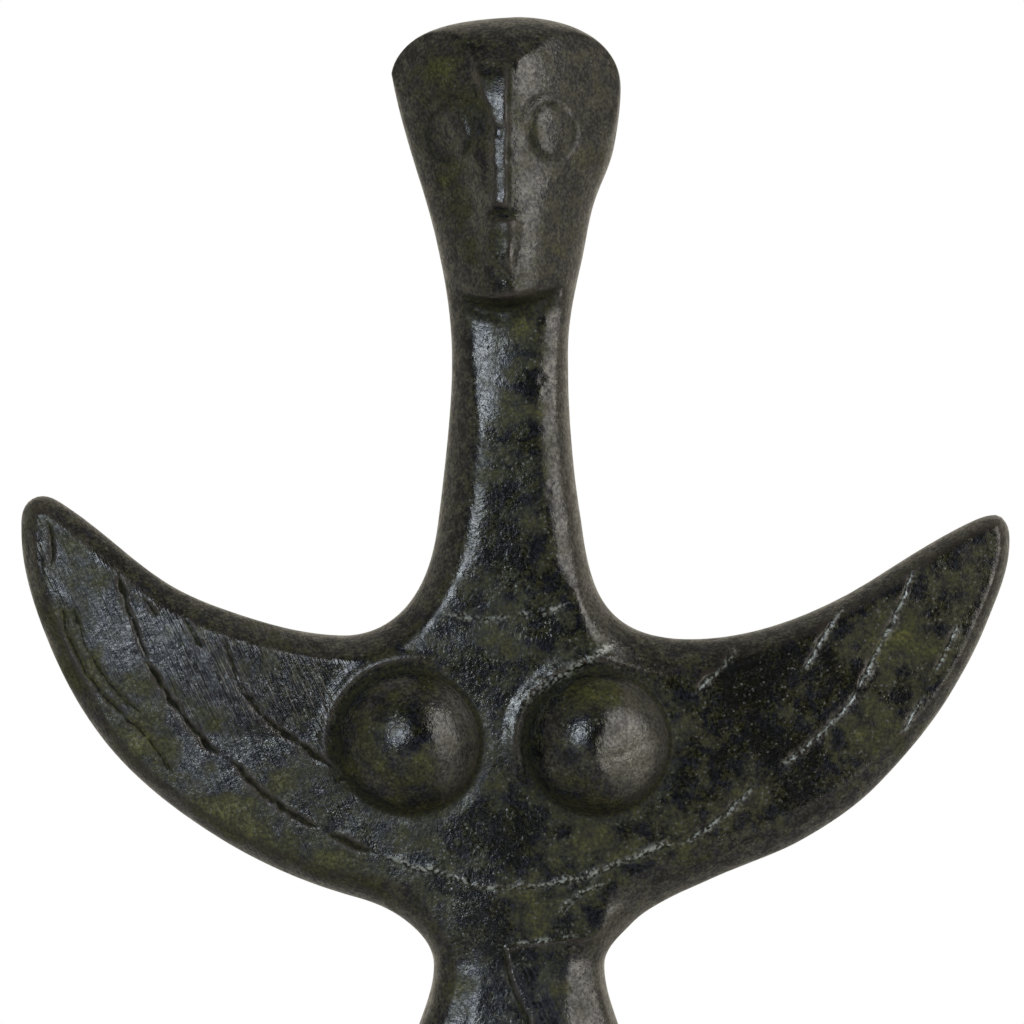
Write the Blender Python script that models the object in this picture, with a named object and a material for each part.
"""Crescent-armed idol: one solid bronze casting that stands on its own flared foot.

The figure is a relief in the round. Its outline stands upright in the XZ plane, and a front and a back
surface swell from that outline towards -Y and +Y. Lengths in this file are millimetres until the
mesh is made, and "out" is a distance from the middle line towards one side.
"""

import bmesh
import bpy
import numpy as np
from mathutils import Vector
from mathutils.geometry import delaunay_2d_cdt, interpolate_bezier
from mathutils.kdtree import KDTree

MM = 0.001

# Driving dimensions.
HEIGHT = 150.0
HALF_SPAN = 47.25
WAIST_HEIGHT = 59.7
CHIN_HEIGHT = 122.8
FOOT_HALF_WIDTH = 20.5
FOOT_HALF_DEPTH = 17.0
HEM_ROUNDING = 1.0
HEM_TURN_IN = 0.6

# One side of the outline: (out, height, heading). A heading is the way the edge runs there, in degrees:
# 0 is outwards, 90 up, -90 down and 180 inwards. The edge runs from the crown down to the foot.
LEFT_NECK = (
    (0.0, HEIGHT, -4),  # crown
    (8.2, 148.65, -22),  # rounded edge of the crown
    (11.85, 144.8, -78),  # temple, a blunt corner
    (11.8, 144.4, -100),
    (7.55, 128.8, -103),  # jaw
    (6.05, 117.5, -90),  # thinnest part of the neck
    (7.35, 102.0, -83),  # neck root
    (10.75, 93.5, -46),  # shoulder
)
LEFT_ARM = (
    (16.3, 91.1, 0),  # lowest point between neck and arm
    (25.4, 92.8, 18),  # upper edge
    (33.9, 96.5, 34),
    (42.6, 103.2, 34),
    (45.2, 104.4, 0),  # top of the tip
    (46.9, 103.4, -60),
    (HALF_SPAN, 101.0, -90),  # widest point
    (44.85, 91.0, -112),  # outer edge
    (38.5, 80.1, -131),
    (32.9, 74.95, -143),
    (15.3, 66.2, -165),  # hem of the bodice
    (10.55, 64.05, -143),
)
LEFT_SKIRT = (
    (7.75, WAIST_HEIGHT, -90),  # waist
    (9.4, 53.5, -71),
    (14.2, 30.0, -81),  # middle of the skirt
    (FOOT_HALF_WIDTH, HEM_ROUNDING, -66),  # hem of the skirt
    (FOOT_HALF_WIDTH - HEM_TURN_IN, 0.0, -130),
)
RIGHT_NECK = (
    (0.0, HEIGHT, 0),  # crown
    (10.05, 143.4, -90),  # temple, fully rounded on this side
    (9.45, 137.9, -100),
    (7.8, 133.2, -111),  # cheek
    (6.25, 126.5, -103),  # jaw
    (5.0, 118.0, -90),  # thinnest part of the neck
    (6.1, 103.0, -81),
    (6.95, 97.9, -76),  # neck root
    (9.45, 93.0, -43),  # shoulder
)
RIGHT_ARM = (
    (16.6, 90.75, 0),  # lowest point between neck and arm
    (30.9, 94.6, 27),  # upper edge
    (36.6, 98.0, 32),
    (43.9, 102.1, 24),
    (45.9, 102.6, 0),  # top of the tip
    (46.9, 101.85, -60),
    (HALF_SPAN, 100.1, -90),  # widest point
    (44.95, 92.1, -112),  # outer edge
    (41.35, 85.2, -122),
    (34.85, 77.15, -134),
    (27.5, 71.7, -151),
    (18.95, 68.05, -156),  # hem of the bodice
    (12.2, 64.65, -145),
    (10.55, 63.15, -135),
)
RIGHT_SKIRT = (
    (8.45, WAIST_HEIGHT, -90),  # waist
    (10.0, 53.5, -71),
    (14.5, 30.0, -81),  # middle of the skirt
    (FOOT_HALF_WIDTH, HEM_ROUNDING, -66),  # hem of the skirt
    (FOOT_HALF_WIDTH - HEM_TURN_IN, 0.0, -130),
)

# Half the width of the body behind the bodice, between waist and shoulder: (height, out).
BODY_WIDTHS = ((68, 9.3), (78, 11.2), (87, 11.0))

# Depth of the body in front of and behind the middle plane: (height, depth).
FRONT_DEPTHS = (
    (0, FOOT_HALF_DEPTH + 0.3),
    (12, 13.7),
    (30, 10.0),
    (50, 6.2),
    (WAIST_HEIGHT, 5.2),
    (70, 5.0),
    (95, 4.9),
    (118, 4.8),
    (HEIGHT, 5.0),
)
BACK_DEPTHS = (
    (0, FOOT_HALF_DEPTH + 0.3),
    (12, 13.7),
    (30, 10.0),
    (50, 6.2),
    (WAIST_HEIGHT, 5.2),
    (75, 4.6),
    (95, 4.4),
    (112, 4.6),
    (CHIN_HEIGHT, 5.4),
    (134, 7.4),
    (HEIGHT, 8.0),
)
FACE_DEPTHS = (
    (CHIN_HEIGHT - 2, 7.2),
    (CHIN_HEIGHT + 2, 8.0),
    (133, 8.4),
    (142, 7.9),
    (HEIGHT, 6.6),
)
LEFT_DROP, RIGHT_DROP = 0.27, 0.42
FACE_SLOPE = 0.56
FACE_KEEL_RADIUS = 2.0
CROWN_ROUNDING = 8.3

# The flat plate of bodice and arms.
PLATE_FRONT = 4.2
PLATE_BACK = 3.5
TIP_THINNING = 1.2
SWEEP_BACK = 3.0

# Breasts: (across, height) of each centre, measured to the right of the middle line.
BREASTS = ((-10.1, 81.1), (7.8, 81.0))
BREAST_RADIUS = 7.0
BREAST_HEIGHT = 5.3
MOAT_WIDTH = 2.0
MOAT_DEPTH = 0.8

# Face, about its own middle line.
FACE_MIDDLE = -1.2
NOSE_TOP, NOSE_TIP = 146.0, 131.2
NOSE_HALF_WIDTH = 1.1
NOSE_HEIGHT = 1.1
EYE_OUT = 5.1
EYE_HEIGHT = 138.4
EYE_RADIUS = 1.8
EYE_SWELL = 0.8
MOUTH_TOP, MOUTH_BOTTOM = 130.4, 125.4
MUZZLE_HALF_WIDTH = 2.4
MUZZLE_HEIGHT = 0.8

# How finely the surface is faceted.
EDGE_STEP = 2.0
RING_INSETS = (0.15, 0.7, 1.6)
COARSE_STEP = 2.8
FINE_STEP = 1.4

BRONZE_COLOUR = (0.024, 0.027, 0.017, 1.0)
BRONZE_ROUGHNESS = 0.38
BRONZE_METALLIC = 0.25


def clear_scene():
    for thing in list(bpy.data.objects):
        bpy.data.objects.remove(thing)


def smooth_step(value, low, high):
    """0 below low, 1 above high, with no corner between."""
    share = np.clip((value - low) / (high - low), 0, 1)
    return share * share * (3 - 2 * share)


def through(stations, at):
    """A smooth curve through (position, value) stations, with no overshoot between them."""
    places, values = np.array(stations, float).T
    slopes = np.diff(values) / np.diff(places)
    tangents = np.concatenate([slopes[:1], (slopes[1:] + slopes[:-1]) / 2, slopes[-1:]])
    turns = np.concatenate([[False], slopes[1:] * slopes[:-1] <= 0, [False]])
    tangents[turns] = 0
    at = np.clip(at, places[0], places[-1])
    left = np.clip(np.searchsorted(places, at, side="right") - 1, 0, len(places) - 2)
    run = places[left + 1] - places[left]
    t = (at - places[left]) / run
    rise = values[left + 1] - values[left]
    bend_in = tangents[left] * run - rise
    bend_out = rise - tangents[left + 1] * run
    return values[left] + t * rise + t * (1 - t) * ((1 - t) * bend_in + t * bend_out)


def higher(first, second):
    """The higher of two surfaces, with a soft join."""
    sharpness = 7
    return (np.maximum(first, 0) ** sharpness + np.maximum(second, 0) ** sharpness) ** (1 / sharpness)


def lower(first, second):
    """The lower of two surfaces, with a narrow rounded edge where they cross."""
    sharpness = 9
    small = 1e-3
    first = np.maximum(first, small) ** -sharpness
    second = np.maximum(second, small) ** -sharpness
    return np.maximum((first + second) ** (-1 / sharpness) - small, 0)


def heading(degrees):
    return Vector((np.cos(np.radians(degrees)), np.sin(np.radians(degrees))))


def edge_curve(nodes, step):
    """Points along one side, as a Bezier through its nodes, about one step apart. The nodes are kept."""
    points = []
    for (x0, z0, h0), (x1, z1, h1) in zip(nodes, nodes[1:]):
        start = Vector((x0, z0))
        end = Vector((x1, z1))
        # With handles of this length a turn between two nodes follows a circle.
        reach = (end - start).length / (3 * np.cos(np.radians(h1 - h0) / 4) ** 2)
        count = max(2, round((end - start).length / step))
        handles = start + heading(h0) * reach, end - heading(h1) * reach
        points += interpolate_bezier(start, *handles, end, count + 1)[:-1]
    points.append(Vector(nodes[-1][:2]))
    return np.array([tuple(p) for p in points])


def both_sides(step):
    """The whole outline, from the left foot over the crown to the right foot."""
    left = edge_curve(LEFT_NECK + LEFT_ARM + LEFT_SKIRT, step) * (-1, 1)
    right = edge_curve(RIGHT_NECK + RIGHT_ARM + RIGHT_SKIRT, step)
    return np.concatenate([left[::-1], right[1:]])


def tree_of(points):
    tree = KDTree(len(points))
    for i, (x, z) in enumerate(points):
        tree.insert((x, z, 0), i)
    tree.balance()
    return tree


class Outline:
    """The figure's silhouette."""

    def __init__(self):
        self.line = both_sides(0.1)
        self.tree = tree_of(self.line)
        self.body = [
            self.widths(LEFT_NECK, LEFT_SKIRT),
            self.widths(RIGHT_NECK, RIGHT_SKIRT),
        ]

    @staticmethod
    def widths(neck, skirt):
        """(height, out) of one side of the body, from the foot to the crown."""
        low = [(z, x) for x, z in edge_curve(skirt, 1.0)[::-1]]
        high = [(z, x) for x, z in edge_curve(neck, 1.0)[::-1]]
        return low + list(BODY_WIDTHS) + high

    def share_out(self, x, z):
        """0 on the body's middle line and 1 at its side."""
        side = np.where(x < 0, through(self.body[0], z), through(self.body[1], z))
        return np.abs(x) / np.maximum(side, 1e-3)

    def depth_in(self, points):
        """How far inside the silhouette each point lies. The flat underside doesn't count."""
        return np.array([self.tree.find((x, z, 0))[2] for x, z in points])

    def ring(self, inset):
        """The rim's points moved inwards, without those that come too near another edge."""
        line = both_sides(EDGE_STEP)
        along = np.gradient(line, axis=0)
        inwards = np.stack([along[:, 1], -along[:, 0]], axis=1)
        inwards /= np.linalg.norm(inwards, axis=1)[:, None]
        ring = line + inwards * inset
        return ring[(self.depth_in(ring) > 0.97 * inset) & (ring[:, 1] > 0.3)]

    def holds(self, points):
        """True for each point inside the closed silhouette."""
        ends = np.roll(self.line, -1, axis=0)
        x, z = points[:, 0][:, None], points[:, 1][:, None]
        spans = (self.line[:, 1] > z) != (ends[:, 1] > z)
        rise = np.where(ends[:, 1] == self.line[:, 1], 1, ends[:, 1] - self.line[:, 1])
        crossing = self.line[:, 0] + (z - self.line[:, 1]) * (ends[:, 0] - self.line[:, 0]) / rise
        return (spans & (x < crossing)).sum(axis=1) % 2 == 1


def wall(x, z, depth_in):
    """The figure's side: it turns round the silhouette with this radius and climbs to the front."""
    # Above the left arm and below the right one the edge is filed to a broad slope.
    to_right = smooth_step(x, -20, 20)
    above_arm = 3.1 + 1.6 * to_right
    below_arm = 5.0 - 1.9 * to_right
    radius = below_arm + smooth_step(z + 0.5 * np.abs(x), 96, 108) * (above_arm - below_arm)
    near_neck = 1 - smooth_step(np.abs(x), 12, 20)
    left_neck = near_neck * smooth_step(z, 95, 103) * (x < 0)
    right_neck = near_neck * smooth_step(z, 88, 98) * (x >= 0)
    radius = radius + left_neck * (4.5 - radius) + right_neck * (3.5 - radius)
    radius = radius + smooth_step(z, 142, 148) * (CROWN_ROUNDING - radius)
    return np.sqrt(2 * radius * depth_in) + np.maximum(depth_in - 3.5, 0)


def plate(x, z, thickness):
    """The flat of bodice and arms, thinner towards the tips. It fades into neck and skirt."""
    flat = thickness - TIP_THINNING * (np.abs(x) / HALF_SPAN) ** 1.5
    neck = smooth_step(z, 90, 97) * (1 - smooth_step(np.abs(x), 12, 20))
    return flat * smooth_step(z, WAIST_HEIGHT - 4, WAIST_HEIGHT + 4) * (1 - neck)


def breasts(x, z):
    """Two domes, each in a shallow moat."""
    rise = np.zeros_like(x)
    sphere = (BREAST_RADIUS**2 + BREAST_HEIGHT**2) / (2 * BREAST_HEIGHT)
    for across, up in BREASTS:
        away = np.hypot(x - across, z - up)
        cap = np.sqrt(np.clip(sphere**2 - away**2, 0, None)) - (sphere - BREAST_HEIGHT)
        moat = np.clip(1 - np.abs(away - BREAST_RADIUS - 0.3 * MOAT_WIDTH) / MOAT_WIDTH, 0, 1)
        rise = np.maximum(rise, cap) - MOAT_DEPTH * moat**2 * (cap <= 0)
    return rise


def features(x, z):
    """Nose, eyes and muzzle, raised from the face."""
    across = x - FACE_MIDDLE
    nose_length = smooth_step(z, NOSE_TIP - 0.5, NOSE_TIP + 0.3) * (1 - smooth_step(z, NOSE_TOP - 3, NOSE_TOP))
    nose_width = NOSE_HALF_WIDTH * (1 + 1.4 * smooth_step(z, 139, NOSE_TOP))
    nose = NOSE_HEIGHT * nose_length * np.exp(-((across / nose_width) ** 4))
    away = np.hypot(np.abs(across) - EYE_OUT, z - EYE_HEIGHT) / EYE_RADIUS
    eyes = EYE_SWELL * (np.exp(-(away**4)) - 0.5 * np.exp(-(((away - 1.7) / 0.4) ** 2)))
    taper = (z - MOUTH_BOTTOM) / (MOUTH_TOP - MOUTH_BOTTOM)
    muzzle_width = MUZZLE_HALF_WIDTH * (0.5 + 0.5 * np.clip(taper, 0, 1))
    muzzle_length = smooth_step(taper, -0.3, 0.1) * (1 - smooth_step(taper, 0.85, 1.1))
    muzzle = MUZZLE_HEIGHT * muzzle_length * np.exp(-((across / muzzle_width) ** 4))
    return nose + eyes + muzzle


def sweep(x):
    """The arms sweep back a little towards their tips."""
    return SWEEP_BACK * (x / HALF_SPAN) ** 2


def bell(x, z, outline, depths):
    """The skirt, oval in plan, with a hem that turns in at the very bottom."""
    share = np.clip(outline.share_out(x, z), 0, 1)
    turn_in = HEM_TURN_IN * np.clip(1 - z / HEM_ROUNDING, 0, 1) ** 2
    return (through(depths, z) - turn_in) * np.sqrt(1 - share**2)


def upper_body(x, z, outline, depths):
    """Waist, bodice and neck: a face that falls gently to its sides."""
    drop = LEFT_DROP + (RIGHT_DROP - LEFT_DROP) * smooth_step(x, -1, 1)
    return through(depths, z) * (1 - drop * outline.share_out(x, z) ** 2)


def face_planes(x, z):
    """Two cheeks that fall away from a rounded keel."""
    across = x - 0.6 * FACE_MIDDLE
    fall = np.hypot(across, FACE_KEEL_RADIUS) - FACE_KEEL_RADIUS
    return through(FACE_DEPTHS, z) - FACE_SLOPE * fall


def chin_line(x):
    """Height of the chin, lowest a little left of the middle."""
    return CHIN_HEIGHT - 1.1 + 0.05 * np.abs(x - FACE_MIDDLE) ** 1.8


def front(x, z, outline, depth_in):
    """Y of the front surface."""
    chin = chin_line(x)
    head = smooth_step(z, chin - 0.9, chin + 0.9)
    body = higher(upper_body(x, z, outline, FRONT_DEPTHS), plate(x, z, PLATE_FRONT))
    body = body + breasts(x, z)
    face = face_planes(x, z) + features(x, z)
    shaped = lower(wall(x, z, depth_in), body + head * (face - body))
    skirt = 1 - smooth_step(z, 36, 56)
    return sweep(x) - shaped - skirt * (bell(x, z, outline, FRONT_DEPTHS) - shaped)


def back(x, z, outline, depth_in):
    """Y of the back surface, which is plain."""
    body = higher(upper_body(x, z, outline, BACK_DEPTHS), plate(x, z, PLATE_BACK))
    shaped = lower(wall(x, z, depth_in), body)
    skirt = 1 - smooth_step(z, 36, 56)
    return sweep(x) + shaped + skirt * (bell(x, z, outline, BACK_DEPTHS) - shaped)


def hex_grid(step, keep):
    """Points of a triangular grid over the whole figure, where keep says so."""
    rows = np.arange(step / 2, HEIGHT, step * np.sqrt(3) / 2)
    columns = np.arange(-HALF_SPAN, HALF_SPAN, step)
    x, z = np.meshgrid(columns, rows)
    x[1::2] += step / 2
    points = np.stack([x.ravel(), z.ravel()], axis=1)
    return points[keep(*points.T)]


def circles(centre, radii, step):
    """Evenly spaced points on circles about a centre, and the centre itself."""
    points = [centre]
    for radius in radii:
        count = max(6, round(2 * np.pi * radius / step))
        turn = np.arange(count) * 2 * np.pi / count
        points += [(centre[0] + radius * np.cos(a), centre[1] + radius * np.sin(a)) for a in turn]
    return np.array(points)


def nose_points():
    """Points along the ridge of the nose and the foot of both its sides, and round the chin."""
    heights = np.arange(124, 148, 1.2)
    lines = [(FACE_MIDDLE + out, z) for out in (-1.9, -1.0, 0, 1.0, 1.9) for z in heights]
    across = np.arange(-6, 5, 1.2)
    under = [(x, chin_line(x) + up) for up in (-1.0, 0, 1.0) for x in across]
    return np.array(lines + under)


def near_carving(x, z):
    """True over the face and the breasts, where the facets are finer."""
    face = z > CHIN_HEIGHT - 3
    chest = np.min([np.hypot(x - across, z - up) for across, up in BREASTS], axis=0) < BREAST_RADIUS + 3
    return face | chest


def spaced_out(groups):
    """Joins groups of (points, gap), dropping a point nearer than its gap to one kept before."""
    kept = [tuple(p) for p in groups[0][0]]
    for points, gap in groups[1:]:
        tree = tree_of(kept)
        added = []
        for x, z in points:
            near = min((np.hypot(x - a, z - b) for a, b in added[-3:]), default=gap)
            if near >= gap and tree.find((x, z, 0))[2] >= gap:
                added.append((x, z))
        kept += added
    return np.array(kept)


def sheet_points(outline, rim, carved):
    """Where the surface has its points, seen from the front."""
    groups = [(rim, 0)]
    previous = 0
    for inset in RING_INSETS:
        groups.append((outline.ring(inset), 0.9 * (inset - previous)))
        previous = inset
    if carved:
        for across, up in BREASTS:
            radii = BREAST_RADIUS * np.array([0.3, 0.55, 0.76, 0.92, 1.01, 1.14, 1.32])
            groups.append((circles((across, up), radii, FINE_STEP), 0.55))
        for side in (-1, 1):
            centre = (FACE_MIDDLE + side * EYE_OUT, EYE_HEIGHT)
            groups.append((circles(centre, EYE_RADIUS * np.array([0.55, 1.1, 1.7]), 1.1), 0.5))
        groups.append((nose_points(), 0.45))
    for step, fine in ((FINE_STEP, True), (COARSE_STEP, False)):
        grid = hex_grid(step, lambda x, z: (near_carving(x, z) & carved) == fine)
        grid = grid[outline.holds(grid)]
        grid = grid[outline.depth_in(grid) > RING_INSETS[-1] + 0.5 * step]
        groups.append((grid, 0.7 * step))
    return spaced_out(groups)


def triangles(points, rim_count):
    """Fills the silhouette with triangles. The first rim_count points run round it, in order."""
    rim = [(i, (i + 1) % rim_count) for i in range(rim_count)]
    flat = [Vector(p) for p in points]
    made = delaunay_2d_cdt(flat, rim, [], 1, 1e-5)
    origin = [sources[0] for sources in made[3]]
    return [[origin[v] for v in face] for face in made[2]]


def foot_rim():
    """Points of the underside between its two corners."""
    corner = FOOT_HALF_WIDTH - HEM_TURN_IN
    turn = np.linspace(0, np.pi, 27)[1:-1]
    return np.stack([corner * np.cos(turn), np.zeros(len(turn))], axis=1)


def bronze():
    material = bpy.data.materials.new("patinated_bronze")
    material.use_nodes = True
    shader = material.node_tree.nodes["Principled BSDF"]
    shader.inputs["Base Color"].default_value = BRONZE_COLOUR
    shader.inputs["Roughness"].default_value = BRONZE_ROUGHNESS
    shader.inputs["Metallic"].default_value = BRONZE_METALLIC
    return material


def lift(mesh, points, y, edge):
    """A vertex for each point. Those along the outline are shared by front and back."""
    inner = zip(points[len(edge) :], y[len(edge) :])
    raised = [mesh.verts.new((x * MM, d * MM, z * MM)) for (x, z), d in inner]
    return edge + raised


def cast_figure():
    """The whole figure as one closed mesh."""
    outline = Outline()
    line = both_sides(EDGE_STEP)
    rim = np.concatenate([line, foot_rim()])
    mesh = bmesh.new()
    edge = [mesh.verts.new((x * MM, sweep(x) * MM, z * MM)) for x, z in line]
    under = []
    for carved, surface in ((True, front), (False, back)):
        points = sheet_points(outline, rim, carved)
        y = surface(*points.T, outline, outline.depth_in(points))
        verts = lift(mesh, points, y, edge)
        for face in triangles(points, len(rim)):
            mesh.faces.new([verts[i] for i in face])
        under.append(verts[len(line) : len(rim)])
    mesh.faces.new([edge[-1], *under[0], edge[0], *under[1][::-1]])
    bmesh.ops.triangulate(mesh, faces=[f for f in mesh.faces if len(f.verts) > 4])
    bmesh.ops.recalc_face_normals(mesh, faces=mesh.faces)
    data = bpy.data.meshes.new("figurine")
    mesh.to_mesh(data)
    mesh.free()
    return data


def main():
    clear_scene()
    data = cast_figure()
    data.materials.append(bronze())
    data.shade_smooth()
    data.set_sharp_from_angle(angle=np.radians(50))
    figurine = bpy.data.objects.new("figurine", data)
    bpy.context.scene.collection.objects.link(figurine)
    print("figurine:", len(data.polygons), "triangles")


main()
